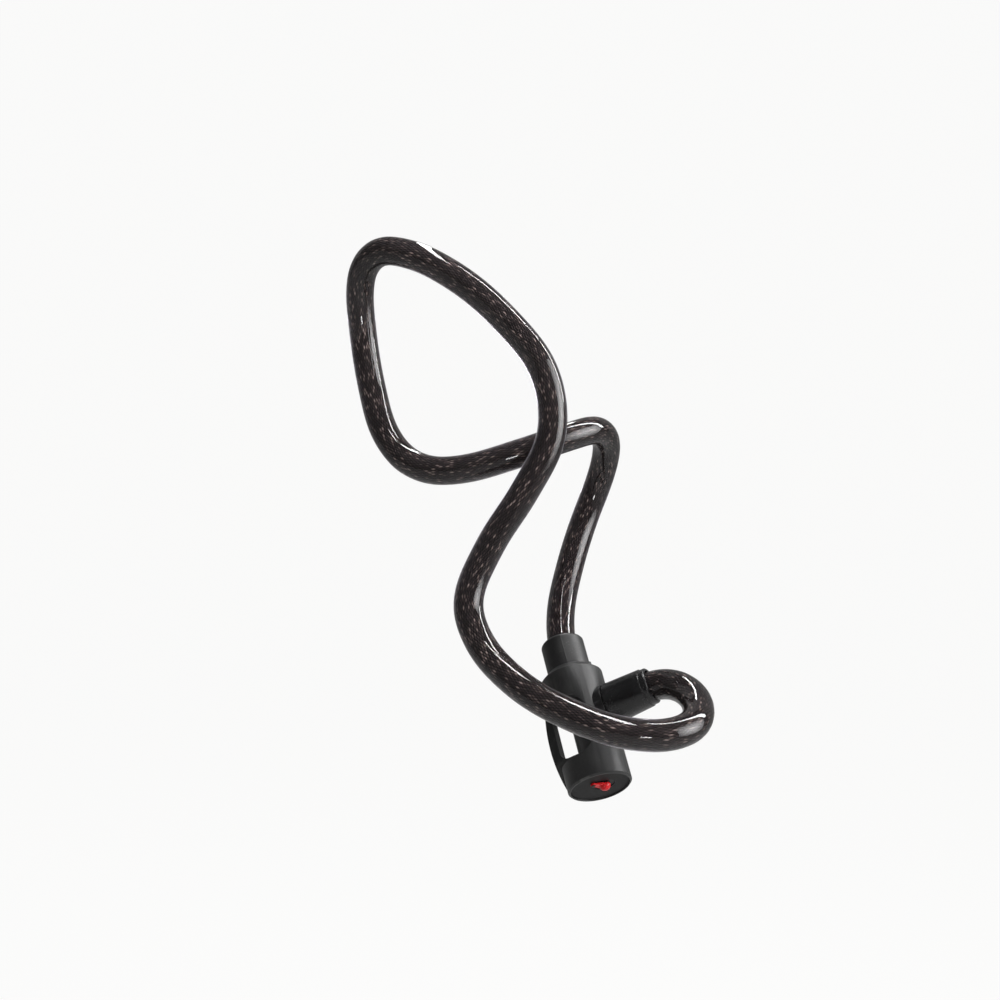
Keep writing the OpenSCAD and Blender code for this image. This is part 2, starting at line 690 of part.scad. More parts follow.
cable();
gland_collar();
anchor_sleeve();
anchor_pin();
rope_end_fixed();
shell_front();
shell_rear();
shell_screws();
lock_housing();
socket_ring();
socket_seal();
end_plate();
keyhole_cover();
cover_rivet();
key_core();
wafers();
wafer_springs();
core_clip();
drive_cam();
bolt_plate();
plug_ferrule();
plug_stud();
plug_sleeve();
plug_set_screw();
rope_end_plug();
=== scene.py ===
import bpy, math
from mathutils import Euler, Matrix, Vector


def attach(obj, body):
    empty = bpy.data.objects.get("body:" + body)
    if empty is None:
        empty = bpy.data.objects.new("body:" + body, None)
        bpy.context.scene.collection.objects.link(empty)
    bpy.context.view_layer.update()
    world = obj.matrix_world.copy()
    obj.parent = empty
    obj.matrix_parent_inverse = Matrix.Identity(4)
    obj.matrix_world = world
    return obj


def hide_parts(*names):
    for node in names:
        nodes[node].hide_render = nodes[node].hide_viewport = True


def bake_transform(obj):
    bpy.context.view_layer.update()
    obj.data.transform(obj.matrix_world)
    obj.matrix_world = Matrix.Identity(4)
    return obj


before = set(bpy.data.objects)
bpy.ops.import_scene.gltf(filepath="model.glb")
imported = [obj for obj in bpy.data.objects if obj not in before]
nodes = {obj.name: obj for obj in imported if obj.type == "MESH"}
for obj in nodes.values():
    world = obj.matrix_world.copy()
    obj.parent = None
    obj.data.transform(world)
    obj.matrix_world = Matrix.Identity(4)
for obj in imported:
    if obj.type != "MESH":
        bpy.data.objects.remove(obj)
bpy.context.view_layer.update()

# Camera: level, in front of the hanging lock and at the height of its middle, with a 50 mm lens on a
# 36 mm sensor. The loop and the lock body stand in the view with room round them.
cam_data = bpy.data.cameras.new("camera")
cam_data.lens = 50
cam_data.sensor_width = 36
cam_data.clip_start = 0.01
cam = bpy.data.objects.new("camera", cam_data)
bpy.context.scene.collection.objects.link(cam)
cam.location = (0.0773, -0.880, -0.1488)
cam.rotation_euler = (math.radians(90), 0, 0)
bpy.context.scene.camera = cam

# Cable: an 18 mm armoured cable. A steel rope with a dark wire braid round it is pulled through a
# smoky, clear, glossy PVC sheath. It is gripped in the collar at one end and in the plug at the other.
LOCK_AT = Vector((0.127, -0.034, -0.281))
LOCK_TURN = Euler([math.radians(a) for a in (-28, -26, -20)], "XYZ").to_matrix()
COLLAR_GRIP, COLLAR_MOUTH = 37.7, 53.0  # where the cable ends and leaves, along the body, mm
PLUG_GRIP, PLUG_MOUTH = 39.2, 49.0  # the same along the plug, mm
ROUTE_MM = [
    (116, 10, -223), (123, 32, -193), (135, 47, -158), (142, 46, -140), (147, 37, -121),
    (146, 22, -109), (139, 7, -104), (124, -7, -108), (89, -17, -120), (51, -10, -130),
    (33, -2, -130), (17, 7, -123), (5, 16, -109), (-7, 29, -73), (-13, 30, -34),
    (-14, 24, -15), (-10, 13, 1), (2, 0, 9), (18, -9, 6), (52, -19, -12),
    (81, -25, -38), (104, -29, -69), (109, -34, -108), (92, -38, -144), (71, -41, -177),
    (58, -48, -214), (64, -57, -231), (86, -78, -254), (114, -101, -268), (148, -118, -277),
    (167, -119, -278), (183, -110, -275), (190, -94, -269), (189, -77, -262), (182, -63, -258),
    (176, -54, -258)]
STEPS_PER_KNOT, STATIONS, SMOOTHING_ROUNDS = 40, 360, 8
CABLE_D, ARMOUR_D = 0.018, 0.0116
SHEATH_TINT, SHEATH_SHADOW = (0.66, 0.62, 0.70, 1), (0.6, 0.56, 0.62, 1)
BRAID_PITCH, BRAID_WIRES = 0.0048, 26
# Braid colours: painted shade for the gaps between wires, the dull wire, and painted glints for a few wires.
BRAID_GAP_SHADE, WIRE_DULL, WIRE_GLINT = (0.008, 0.007, 0.006, 1), (0.030, 0.023, 0.020, 1), (0.36, 0.29, 0.24, 1)


def in_lock(x, y, z):
    """A point given in millimetres along the lock body's own axes."""
    return LOCK_AT + LOCK_TURN @ (Vector((x, y, z)) / 1000)


# One smooth curve goes through the knots. Stations at even steps along it are then evened out a little.
knots = ([in_lock(0, 0, COLLAR_GRIP), in_lock(0, 0, COLLAR_MOUTH)] + [Vector(p) / 1000 for p in ROUTE_MM]
         + [in_lock(PLUG_MOUTH, 0, 0), in_lock(PLUG_GRIP, 0, 0)])
headings = [(knots[1] - knots[0]).normalized()]
for before, here, after in zip(knots, knots[1:], knots[2:]):
    a, b = here - before, after - here
    headings.append((a * (b.length / a.length) + b * (a.length / b.length)).normalized())
headings.append((knots[-1] - knots[-2]).normalized())
fine = []
for i in range(len(knots) - 1):
    reach = (knots[i + 1] - knots[i]).length
    for k in range(STEPS_PER_KNOT):
        u = k / STEPS_PER_KNOT
        fine.append((2 * u ** 3 - 3 * u ** 2 + 1) * knots[i] + (u ** 3 - 2 * u ** 2 + u) * reach * headings[i]
                    + (3 * u ** 2 - 2 * u ** 3) * knots[i + 1] + (u ** 3 - u ** 2) * reach * headings[i + 1])
fine.append(knots[-1])
steps = [0.0]
for p, q in zip(fine, fine[1:]):
    steps.append(steps[-1] + (q - p).length)
cable_path, j = [], 0
for k in range(STATIONS + 1):
    s = steps[-1] * k / STATIONS
    while j < len(fine) - 2 and steps[j + 1] < s:
        j += 1
    cable_path.append(fine[j].lerp(fine[j + 1], (s - steps[j]) / (steps[j + 1] - steps[j])))
for _ in range(SMOOTHING_ROUNDS):
    between = [(p + q * 2 + r) / 4 for p, q, r in zip(cable_path, cable_path[1:], cable_path[2:])]
    cable_path = [cable_path[0]] + between + [cable_path[-1]]
CABLE_LENGTH = sum((q - p).length for p, q in zip(cable_path, cable_path[1:]))


def cable_tube(name, radius, roundness):
    """A closed tube along the cable's path, with its length and girth as texture coordinates."""
    bpy.ops.object.select_all(action="DESELECT")
    bpy.ops.curve.primitive_bezier_curve_add(location=(0, 0, 0))
    tube = bpy.context.object
    tube.name = name
    curve = tube.data
    curve.splines.clear()
    line = curve.splines.new("POLY")
    line.points.add(len(cable_path) - 1)
    for point, place in zip(line.points, cable_path):
        point.co = (*place, 1)
    line.use_smooth = True
    curve.dimensions = "3D"
    curve.twist_mode = "MINIMUM"
    curve.bevel_depth = radius
    curve.bevel_resolution = roundness
    curve.use_fill_caps = True
    bpy.ops.object.convert(target="MESH")
    bpy.ops.object.mode_set(mode="EDIT")
    bpy.ops.mesh.select_all(action="SELECT")
    bpy.ops.mesh.remove_doubles(threshold=0.000001)
    bpy.ops.object.mode_set(mode="OBJECT")
    bpy.ops.object.shade_smooth_by_angle(angle=math.radians(60))
    return bpy.context.object


def principled(name, **sockets):
    """A new material with its node tree and its shader, whose named sockets are set."""
    mat = bpy.data.materials.new(name)
    mat.use_nodes = True
    shader = mat.node_tree.nodes["Principled BSDF"]
    for socket, value in sockets.items():
        shader.inputs[socket.replace("_", " ")].default_value = value
    return mat, mat.node_tree, shader


def calc(tree, operation, *values):
    node = tree.nodes.new("ShaderNodeMath")
    node.operation = operation
    for socket, value in zip(node.inputs, values):
        if isinstance(value, (int, float)):
            socket.default_value = value
        else:
            tree.links.new(value, socket)
    return node.outputs[0]


def blend_colours(tree, factor, dark, light):
    node = tree.nodes.new("ShaderNodeMix")
    node.data_type = "RGBA"
    tree.links.new(factor, node.inputs[0])
    for socket, value in ((node.inputs[6], dark), (node.inputs[7], light)):
        if isinstance(value, tuple):
            socket.default_value = value
        else:
            tree.links.new(value, socket)
    return node.outputs[2]


def add_bump(tree, shader, height, distance, strength):
    bump = tree.nodes.new("ShaderNodeBump")
    bump.inputs["Strength"].default_value = strength
    bump.inputs["Distance"].default_value = distance
    tree.links.new(height, bump.inputs["Height"])
    tree.links.new(bump.outputs[0], shader.inputs["Normal"])


sheath = cable_tube("cable_sheath", CABLE_D / 2, roundness=10)
armour = cable_tube("cable_armour", ARMOUR_D / 2, roundness=8)

# The sheath's PVC lets a tinted light through to the braid, where clear glass would cast a full shadow.
pvc, tree, shader = principled("sheath_pvc", Base_Color=SHEATH_TINT, Roughness=0.035, IOR=1.5,
                               Transmission_Weight=1.0)
ray = tree.nodes.new("ShaderNodeLightPath")
clear = tree.nodes.new("ShaderNodeBsdfTransparent")
clear.inputs["Color"].default_value = SHEATH_SHADOW
mix = tree.nodes.new("ShaderNodeMixShader")
tree.links.new(ray.outputs["Is Shadow Ray"], mix.inputs[0])
tree.links.new(shader.outputs[0], mix.inputs[1])
tree.links.new(clear.outputs[0], mix.inputs[2])
tree.links.new(mix.outputs[0], tree.nodes["Material Output"].inputs["Surface"])
sheath.data.materials.append(pvc)

# The braid's wires run round to the left and to the right and cross over and under in turn. A few of
# the crossings take a bright wire colour as painted glints, and each wire's colour darkens towards its
# sides and into the gaps between wires as painted shade.
braid, tree, shader = principled("armour_braid", Roughness=0.32, Metallic=0.85)
uv = tree.nodes.new("ShaderNodeUVMap")
split = tree.nodes.new("ShaderNodeSeparateXYZ")
tree.links.new(uv.outputs[0], split.inputs[0])
rows = calc(tree, "MULTIPLY", split.outputs[0], CABLE_LENGTH / BRAID_PITCH)
turns = calc(tree, "MULTIPLY", split.outputs[1], BRAID_WIRES)
left = calc(tree, "ADD", rows, turns)
right = calc(tree, "SUBTRACT", rows, turns)
left_cell, right_cell = calc(tree, "FLOOR", left), calc(tree, "FLOOR", right)
over = calc(tree, "MODULO", calc(tree, "ABSOLUTE", calc(tree, "ADD", left_cell, right_cell)), 2)
under = calc(tree, "SUBTRACT", 1, over)
waves = [calc(tree, "SINE", calc(tree, "MULTIPLY", calc(tree, "FRACT", v), math.pi)) for v in (left, right)]
narrow = [calc(tree, "POWER", wave, 0.5) for wave in waves]
height = calc(tree, "ADD", calc(tree, "MULTIPLY", over, calc(tree, "MULTIPLY", narrow[0], waves[1])),
              calc(tree, "MULTIPLY", under, calc(tree, "MULTIPLY", narrow[1], waves[0])))
cell = tree.nodes.new("ShaderNodeCombineXYZ")
tree.links.new(left_cell, cell.inputs[0])
tree.links.new(right_cell, cell.inputs[1])
chance = tree.nodes.new("ShaderNodeTexWhiteNoise")
chance.noise_dimensions = "2D"
tree.links.new(cell.outputs[0], chance.inputs["Vector"])
# A few cells picked at random take the bright colour: painted glints.
wire = blend_colours(tree, calc(tree, "POWER", chance.outputs["Value"], 8), WIRE_DULL, WIRE_GLINT)
# The colour darkens where the wire's height falls, towards its sides and into the gaps: painted shade.
colour = blend_colours(tree, calc(tree, "POWER", height, 1.5), BRAID_GAP_SHADE, wire)
tree.links.new(colour, shader.inputs["Base Color"])
add_bump(tree, shader, height, distance=0.0003, strength=1.0)
armour.data.materials.append(braid)

# The sheath and the armour are baked into place, and the cable from model.glb is hidden.
for piece in (sheath, armour):
    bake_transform(piece)
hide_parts("cable")

# Lock body: two half shells moulded in black nylon with a fine eroded grain, closed with four screws from
# the rear. The carrying bow on their left is part of both halves, and their edges are softly rounded.
SHELL_EDGE = 0.0005


def soften(part, width):
    """Rounds the sharp edges of a solid that keeps its own mesh."""
    weld = part.modifiers.new("weld", "WELD")
    weld.merge_threshold = 0.00002
    bevel = part.modifiers.new("bevel", "BEVEL")
    bevel.width = width
    bevel.segments = 3
    bevel.limit_method = "ANGLE"
    bevel.angle_limit = math.radians(32)
    bevel.use_clamp_overlap = True
    bevel.harden_normals = True


def paint(part, material):
    for slot in part.material_slots:
        slot.material = material


def shader_group(name, inputs, outputs):
    group = bpy.data.node_groups.new(name, "ShaderNodeTree")
    for title, kind, value in inputs:
        socket = group.interface.new_socket(title, in_out="INPUT", socket_type=kind)
        socket.default_value = value
    for title, kind in outputs:
        group.interface.new_socket(title, in_out="OUTPUT", socket_type=kind)
    return group, group.nodes.new("NodeGroupInput"), group.nodes.new("NodeGroupOutput")


def noise_of(tree, vector, scale, detail):
    noise = tree.nodes.new("ShaderNodeTexNoise")
    noise.inputs["Scale"].default_value = scale
    noise.inputs["Detail"].default_value = detail
    tree.links.new(vector, noise.inputs["Vector"])
    return noise.outputs["Fac"]


def spread(tree, value, low, high, to_low, to_high):
    node = tree.nodes.new("ShaderNodeMapRange")
    for socket, number in zip(node.inputs[1:5], (low, high, to_low, to_high)):
        socket.default_value = number
    tree.links.new(value, node.inputs[0])
    return node.outputs[0]


# Moulded skin: an eroded grain with slow changes of gloss, a few pale specks of dust, and convex edges
# made paler and smoother.
skin, given, made = shader_group(
    "moulded_skin",
    [("Colour", "NodeSocketColor", (0.02, 0.02, 0.02, 1)),
     ("Paler", "NodeSocketColor", (0.08, 0.08, 0.08, 1)),
     ("Gloss", "NodeSocketFloat", 0.4)],
    [("Colour", "NodeSocketColor"), ("Roughness", "NodeSocketFloat"), ("Height", "NodeSocketFloat")])
place = skin.nodes.new("ShaderNodeTexCoord").outputs["Object"]
slow = noise_of(skin, place, 60, 3)
dust = noise_of(skin, place, 900, 2)
specks = calc(skin, "MULTIPLY", spread(skin, noise_of(skin, place, 1500, 0), 0.70, 0.78, 0, 0.6),
              spread(skin, slow, 0.45, 0.62, 0, 1))
# Where the surface is most convex, at the edges, the colour is made paler and the gloss higher.
edge = spread(skin, skin.nodes.new("ShaderNodeNewGeometry").outputs["Pointiness"], 0.515, 0.60, 0, 1)
pale_edges = calc(skin, "MULTIPLY", edge, spread(skin, slow, 0.35, 0.65, 0.15, 0.9))
specks_and_pale_edges = calc(skin, "MAXIMUM", specks, pale_edges)
cloudy = blend_colours(skin, spread(skin, slow, 0.3, 0.7, 0.0, 0.12), given.outputs["Colour"],
                       given.outputs["Paler"])
skin.links.new(blend_colours(skin, specks_and_pale_edges, cloudy, given.outputs["Paler"]), made.inputs["Colour"])
gloss = calc(skin, "ADD", given.outputs["Gloss"], spread(skin, slow, 0.2, 0.8, -0.07, 0.07))
gloss = calc(skin, "ADD", gloss, spread(skin, dust, 0.2, 0.8, -0.04, 0.04))
skin.links.new(calc(skin, "SUBTRACT", gloss, calc(skin, "MULTIPLY", specks_and_pale_edges, 0.10)), made.inputs["Roughness"])
skin.links.new(noise_of(skin, place, 2600, 1), made.inputs["Height"])


def moulded(name, colour, paler_colour, gloss, grain_height, **sockets):
    mat, tree, shader = principled(name, **sockets)
    skin_node = tree.nodes.new("ShaderNodeGroup")
    skin_node.node_tree = skin
    skin_node.inputs["Colour"].default_value = (*colour, 1)
    skin_node.inputs["Paler"].default_value = (*paler_colour, 1)
    skin_node.inputs["Gloss"].default_value = gloss
    tree.links.new(skin_node.outputs["Colour"], shader.inputs["Base Color"])
    tree.links.new(skin_node.outputs["Roughness"], shader.inputs["Roughness"])
    add_bump(tree, shader, skin_node.outputs["Height"], grain_height, strength=0.6)
    return mat


shell_black = moulded("shell_black", colour=(0.014, 0.0143, 0.0146),
                      paler_colour=(0.075, 0.075, 0.072), gloss=0.42, grain_height=0.00008,
                      Specular_IOR_Level=0.5)
for name in ("shell_front", "shell_rear"):
    paint(nodes[name], shell_black)
    soften(nodes[name], SHELL_EDGE)

# Collar: a turned-looking cap moulded in the same nylon round the fixed end of the cable. Its spigot sits
# inside the shells, a small lug at its foot stops it turning, and a mould line runs down its front.
COLLAR_RINGS = [
    (25.5, 8.2), (25.5, 10.5), (31, 10.5), (31, 13.5), (34.6, 13.5), (51.2, 13.5), (52.4, 12.7), (53, 11.4),
    (53, 9.6), (37.5, 9.6), (37.5, 8.2), (25.5, 8.2)]
FACET_R, COLLAR_R = 0.0134, 0.01345  # facets and points further out than these are on the outer face
LUG_FOOT, LUG_TOP, LUG_HEIGHT = 0.031, 0.0346, 0.001
LUG_AT, LUG_HALF_WIDTH = 20, 6.6  # degrees round the collar
LINE_AT, LINE_FOOT, LINE_TOP = -70, 0.0335, 0.0512
LINE_WIDTH, LINE_RISE = 0.00016, 1.008


def choose(piece, kind, test):
    """Selects the faces, edges or vertices of a mesh that pass a test, and nothing else."""
    bpy.ops.mesh.select_all(action="DESELECT")
    bpy.ops.mesh.select_mode(type=kind)
    bpy.ops.object.mode_set(mode="OBJECT")
    parts = {"FACE": piece.data.polygons, "EDGE": piece.data.edges, "VERT": piece.data.vertices}[kind]
    for part in parts:
        part.select = test(part)
    bpy.ops.object.mode_set(mode="EDIT")


def turned_piece(name, rings, steps):
    """A piece turned about +Z from rings of (height, radius) in mm; a closed outline ends as it began."""
    bpy.ops.object.select_all(action="DESELECT")
    bpy.ops.mesh.primitive_circle_add(vertices=steps, radius=rings[0][1] / 1000, location=(0, 0, 0))
    piece = bpy.context.object
    piece.name = name
    bpy.ops.object.mode_set(mode="EDIT")
    bpy.ops.mesh.select_mode(type="VERT")
    bpy.ops.mesh.select_all(action="SELECT")
    bpy.ops.transform.translate(value=(0, 0, rings[0][0] / 1000))
    for (low, before), (high, after) in zip(rings, rings[1:]):
        bpy.ops.mesh.extrude_region_move(TRANSFORM_OT_translate={"value": (0, 0, (high - low) / 1000)})
        bpy.ops.transform.resize(value=(after / before, after / before, 1), center_override=(0, 0, 0))
    bpy.ops.mesh.select_all(action="SELECT")
    bpy.ops.mesh.remove_doubles(threshold=0.000004)
    bpy.ops.mesh.normals_make_consistent(inside=False)
    bpy.ops.object.mode_set(mode="OBJECT")
    return piece


def round_edges(piece, width, segments=3, angle=30):
    bevel = piece.modifiers.new("round", "BEVEL")
    bevel.width = width
    bevel.segments = segments
    bevel.limit_method = "ANGLE"
    bevel.angle_limit = math.radians(angle)
    bpy.ops.object.modifier_apply(modifier="round")


def even_shading(piece):
    bpy.ops.object.shade_smooth_by_angle(angle=math.radians(38))
    weighted = piece.modifiers.new("weighted", "WEIGHTED_NORMAL")
    weighted.keep_sharp = True
    bpy.ops.object.modifier_apply(modifier="weighted")


def stand(piece, lay, at=(0, 0, 0), spin=0.0):
    """Puts a piece drawn about +Z into the lock body, along one of the body's own axes."""
    turn = {"X": Matrix.Rotation(math.radians(90), 4, "Y"), "Y": Matrix.Rotation(math.radians(-90), 4, "X"),
            "Z": Matrix()}[lay]
    piece.matrix_world = (Matrix.Translation(in_lock(*at)) @ LOCK_TURN.to_4x4() @ turn
                          @ Matrix.Rotation(math.radians(spin), 4, "Z"))
    bpy.ops.object.transform_apply(location=True, rotation=True, scale=True)


def azimuth(place):
    return math.degrees(math.atan2(place.y, place.x))


def on_lug(face):
    return (LUG_FOOT < face.center.z < LUG_TOP and face.center.xy.length > FACET_R
            and abs(azimuth(face.center) - LUG_AT) < LUG_HALF_WIDTH)


def near_line(vertex, within):
    return vertex.co.xy.length > COLLAR_R and abs(azimuth(vertex.co) - LINE_AT) < within


collar = turned_piece("gland_collar_piece", COLLAR_RINGS, steps=108)
bpy.ops.object.mode_set(mode="EDIT")
choose(collar, "FACE", on_lug)
bpy.ops.mesh.extrude_region_move(TRANSFORM_OT_translate={
    "value": (LUG_HEIGHT * math.cos(math.radians(LUG_AT)), LUG_HEIGHT * math.sin(math.radians(LUG_AT)), 0)})
bpy.ops.object.mode_set(mode="OBJECT")
round_edges(collar, width=0.00045)
bpy.ops.object.mode_set(mode="EDIT")
choose(collar, "EDGE", lambda edge: all(near_line(collar.data.vertices[v], 0.5) for v in edge.vertices))
bpy.ops.mesh.bevel(offset=LINE_WIDTH, segments=2)
choose(collar, "VERT", lambda vertex: near_line(vertex, 0.2) and LINE_FOOT < vertex.co.z < LINE_TOP)
bpy.ops.transform.resize(value=(LINE_RISE, LINE_RISE, 1), center_override=(0, 0, 0))
bpy.ops.object.mode_set(mode="OBJECT")
even_shading(collar)
stand(collar, "Z", spin=2)
collar.data.materials.append(shell_black)
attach(collar, "lock")
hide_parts("gland_collar")

# Shell screws: four pan-head screws with a cross recess, cold headed in steel and blackened. They go in
# from the rear and pull the two shells together.
SCREW_REACH, SCREW_TIP = 14.8, -0.010  # as drawn, in mm, and the height below which its tip lies, in metres
SCREW_RINGS = [(-SCREW_REACH, 0.7), (-14.3, 1.05), (0, 1.05), (0, 1.9), (0.45, 1.9), (0.85, 1.45), (1.0, 0.8)]
RECESS_SIZE, RECESS_Z = (0.0021, 0.00042, 0.0011), 0.0009
SCREWS = [  # where each head bears on the rear shell, and how far its shank reaches
    ((-14.2, 10.0, 17), 14.8), ((14.2, 10.0, 17), 14.8),
    ((-10.4, 14.13, -38), 18.9), ((13.9, 10.43, -38), 15.2)]

# Metal skin: patches dulled by handling and fine marks that run along the way the piece was worked.
metal, given, made = shader_group(
    "metal_skin",
    [("Colour", "NodeSocketColor", (0.6, 0.6, 0.6, 1)),
     ("Dulled", "NodeSocketColor", (0.3, 0.3, 0.3, 1)),
     ("Gloss", "NodeSocketFloat", 0.3), ("Across", "NodeSocketVector", (1, 1, 1))],
    [("Colour", "NodeSocketColor"), ("Roughness", "NodeSocketFloat"), ("Height", "NodeSocketFloat")])
place = metal.nodes.new("ShaderNodeTexCoord").outputs["Object"]
stretch = metal.nodes.new("ShaderNodeVectorMath")
stretch.operation = "MULTIPLY"
metal.links.new(place, stretch.inputs[0])
metal.links.new(given.outputs["Across"], stretch.inputs[1])
marks = noise_of(metal, stretch.outputs[0], 2200, 3)
patches = noise_of(metal, place, 170, 4)
metal.links.new(blend_colours(metal, spread(metal, patches, 0.42, 0.75, 0, 0.8), given.outputs["Colour"],
                              given.outputs["Dulled"]), made.inputs["Colour"])
gloss = calc(metal, "ADD", given.outputs["Gloss"], spread(metal, patches, 0.3, 0.8, -0.05, 0.18))
gloss = calc(metal, "ADD", gloss, spread(metal, marks, 0.3, 0.7, -0.05, 0.05))
metal.links.new(gloss, made.inputs["Roughness"])
metal.links.new(marks, made.inputs["Height"])


def metallic(name, colour, dulled, gloss, marks_height, across=(1, 1, 1)):
    mat, tree, shader = principled(name, Metallic=1.0)
    skin_node = tree.nodes.new("ShaderNodeGroup")
    skin_node.node_tree = metal
    skin_node.inputs["Colour"].default_value = (*colour, 1)
    skin_node.inputs["Dulled"].default_value = (*dulled, 1)
    skin_node.inputs["Gloss"].default_value = gloss
    skin_node.inputs["Across"].default_value = across
    tree.links.new(skin_node.outputs["Colour"], shader.inputs["Base Color"])
    tree.links.new(skin_node.outputs["Roughness"], shader.inputs["Roughness"])
    add_bump(tree, shader, skin_node.outputs["Height"], marks_height, strength=0.5)
    return mat


def close_ends():
    bpy.ops.object.mode_set(mode="EDIT")
    bpy.ops.mesh.select_all(action="SELECT")
    bpy.ops.mesh.fill_holes(sides=0)
    bpy.ops.mesh.normals_make_consistent(inside=False)
    bpy.ops.object.mode_set(mode="OBJECT")


def cut_out(piece, tool):
    bpy.context.view_layer.objects.active = piece
    cut = piece.modifiers.new("cut", "BOOLEAN")
    cut.operation = "DIFFERENCE"
    cut.solver = "EXACT"
    cut.object = tool
    bpy.ops.object.modifier_apply(modifier="cut")
    bpy.data.objects.remove(tool)
    piece.select_set(True)


blackened = metallic("blackened_steel", colour=(0.11, 0.11, 0.115), dulled=(0.05, 0.045, 0.04),
                     gloss=0.34, marks_height=0.00003)
screw = turned_piece("shell_screw_1", SCREW_RINGS, steps=48)
close_ends()
for turn in (0, 90):
    bpy.ops.mesh.primitive_cube_add(size=1, location=(0, 0, RECESS_Z), rotation=(0, 0, math.radians(turn)),
                                    scale=RECESS_SIZE)
    blade = bpy.context.object
    bpy.ops.object.mode_set(mode="EDIT")
    choose(blade, "FACE", lambda face: face.normal.z < -0.5)
    bpy.ops.transform.resize(value=(0.55, 0.7, 1), center_override=(0, 0, RECESS_Z))
    bpy.ops.object.mode_set(mode="OBJECT")
    cut_out(screw, blade)
for number, (at, reach) in enumerate(SCREWS, 1):
    bpy.ops.object.select_all(action="DESELECT")
    screw.select_set(True)
    bpy.context.view_layer.objects.active = screw
    if number < len(SCREWS):
        bpy.ops.object.duplicate(linked=False)
    fitted = bpy.context.object
    fitted.name = "shell_screw_%d" % (number % len(SCREWS) + 1)
    bpy.ops.object.mode_set(mode="EDIT")
    choose(fitted, "VERT", lambda vertex: vertex.co.z < SCREW_TIP)
    bpy.ops.transform.translate(value=(0, 0, (SCREW_REACH - reach) / 1000))
    bpy.ops.object.mode_set(mode="OBJECT")
    even_shading(fitted)
    stand(fitted, "Y", at=at, spin=17 * number)
    fitted.data.materials.append(blackened)
    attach(fitted, "lock")
    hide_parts("shell_screws")

# Housing: a zinc casting inside the shells that holds the cable's anchor sleeve with its pin, the plug's
# socket, the bolt plate and the key core. Cast, blasted and left bare.
zinc = metallic("cast_zinc", colour=(0.42, 0.42, 0.44), dulled=(0.22, 0.22, 0.23), gloss=0.48,
                marks_height=0.00008)
paint(nodes["lock_housing"], zinc)

# Rope ends: the steel rope is stripped of its braid and sheath at both ends, and a steel sleeve is swaged
# on each. A ground pin through the sleeve holds the fixed end in the housing.
swaged = metallic("swaged_steel", colour=(0.58, 0.58, 0.60), dulled=(0.34, 0.33, 0.32), gloss=0.30,
                  marks_height=0.00003)
for name in ("anchor_sleeve", "plug_sleeve", "anchor_pin"):
    paint(nodes[name], swaged)
rope = metallic("rope_steel", colour=(0.46, 0.46, 0.47), dulled=(0.20, 0.19, 0.18), gloss=0.38,
                marks_height=0.00012, across=(0.3, 1, 0.3))
for name in ("rope_end_fixed", "rope_end_plug"):
    paint(nodes[name], rope)

# Socket ring: a black bush pressed round the mouth of the plug's socket, proud of the shells by half a
# millimetre, with a groove inside for the rubber seal.
SOCKET_RINGS = [
    (13.5, 9.27), (13.5, 13.0), (20.0, 13.0), (20.0, 6.8), (19.55, 6.8), (19.3, 8.1), (18.68, 8.45),
    (18.05, 8.1), (17.8, 6.8), (17.35, 6.8), (17.35, 9.27), (13.5, 9.27)]
sleeve_black = moulded("sleeve_black", colour=(0.009, 0.009, 0.0095), paler_colour=(0.05, 0.05, 0.05),
                       gloss=0.24, grain_height=0.00003, Specular_IOR_Level=0.5)
bush = turned_piece("socket_ring_piece", SOCKET_RINGS, steps=96)
round_edges(bush, width=0.00035)
even_shading(bush)
stand(bush, "X")
bush.data.materials.append(sleeve_black)
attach(bush, "lock")
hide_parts("socket_ring")
rubber = moulded("seal_rubber", colour=(0.014, 0.014, 0.014), paler_colour=(0.04, 0.04, 0.04),
                 gloss=0.62, grain_height=0.00002)
paint(nodes["socket_seal"], rubber)

# End plate: a black nylon disc pressed into the lower rim, which closes the body. The key core turns in
# its large hole, and the keyhole cover's rivet stands in the small one.
PLATE_RINGS = [(-44.0, 17.85), (-46.2, 17.85)]
PLATE_MIDDLE = -0.045
CORE_X, CORE_HOLE_R = 0.003, 0.0061
RIVET_AT, RIVET_HOLE_R = (-1.25, -7.361), 0.0008
# Black nylon like the shells, but its colour is set darker than theirs as painted shade for the face that
# looks down.
plate_shaded_black = moulded("plate_shaded_black", colour=(0.007, 0.007, 0.0075), paler_colour=(0.03, 0.03, 0.03),
                      gloss=0.55, grain_height=0.00006, Specular_IOR_Level=0.15)


def drill(piece, radius, depth, at, tilt=0.0):
    bpy.ops.mesh.primitive_cylinder_add(vertices=64, radius=radius, depth=depth, location=at,
                                        rotation=(math.radians(tilt), 0, 0))
    cut_out(piece, bpy.context.object)


disc = turned_piece("end_plate_piece", PLATE_RINGS, steps=144)
close_ends()
drill(disc, CORE_HOLE_R, depth=0.006, at=(CORE_X, 0, PLATE_MIDDLE))
drill(disc, RIVET_HOLE_R, depth=0.006, at=(RIVET_AT[0] / 1000, RIVET_AT[1] / 1000, PLATE_MIDDLE))
round_edges(disc, width=0.0003, segments=2, angle=40)
even_shading(disc)
stand(disc, "Z")
disc.data.materials.append(plate_shaded_black)
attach(disc, "lock")
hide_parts("end_plate")

